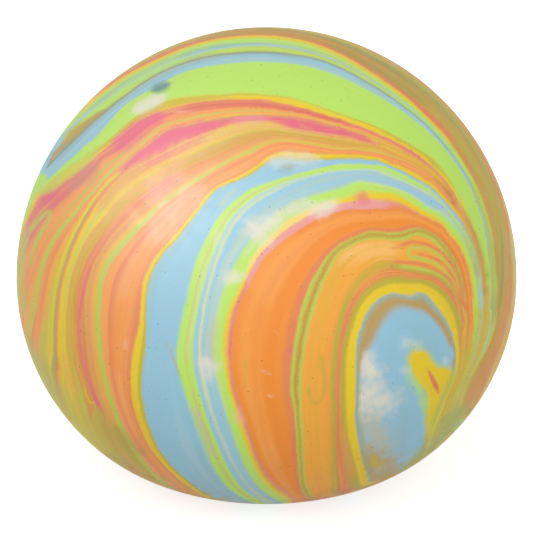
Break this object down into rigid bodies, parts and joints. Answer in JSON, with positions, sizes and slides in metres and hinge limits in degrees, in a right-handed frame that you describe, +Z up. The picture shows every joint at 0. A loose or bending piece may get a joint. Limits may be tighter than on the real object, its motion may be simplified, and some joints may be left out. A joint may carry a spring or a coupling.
{
  "type": "squeeze ball",
  "caption": "Soft marbled rubber squeeze ball that sags on a flat base, with a gummy filling inside and a stoppered filling port underneath.",
  "frame": {"origin": "middle of the flat patch that the ball rests on, on the table's surface", "axes": "+Z up along the ball's axis, -Y towards the viewer of the picture"},
  "size_m": [0.09, 0.09, 0.0802],
  "materials": {
    "skin": "satin soft rubber, marbled through in orange, lime green, sky blue, yellow and pink",
    "dough": "dull gummy dough",
    "stopper": "matte soft rubber",
    "sealer": "glossy dried sealer"
  },
  "bodies": {
    "root": {"outer_skin": "skin", "filling": "dough", "fill_stopper": "stopper", "sealing_disc": "sealer"}
  },
  "joints": []
}
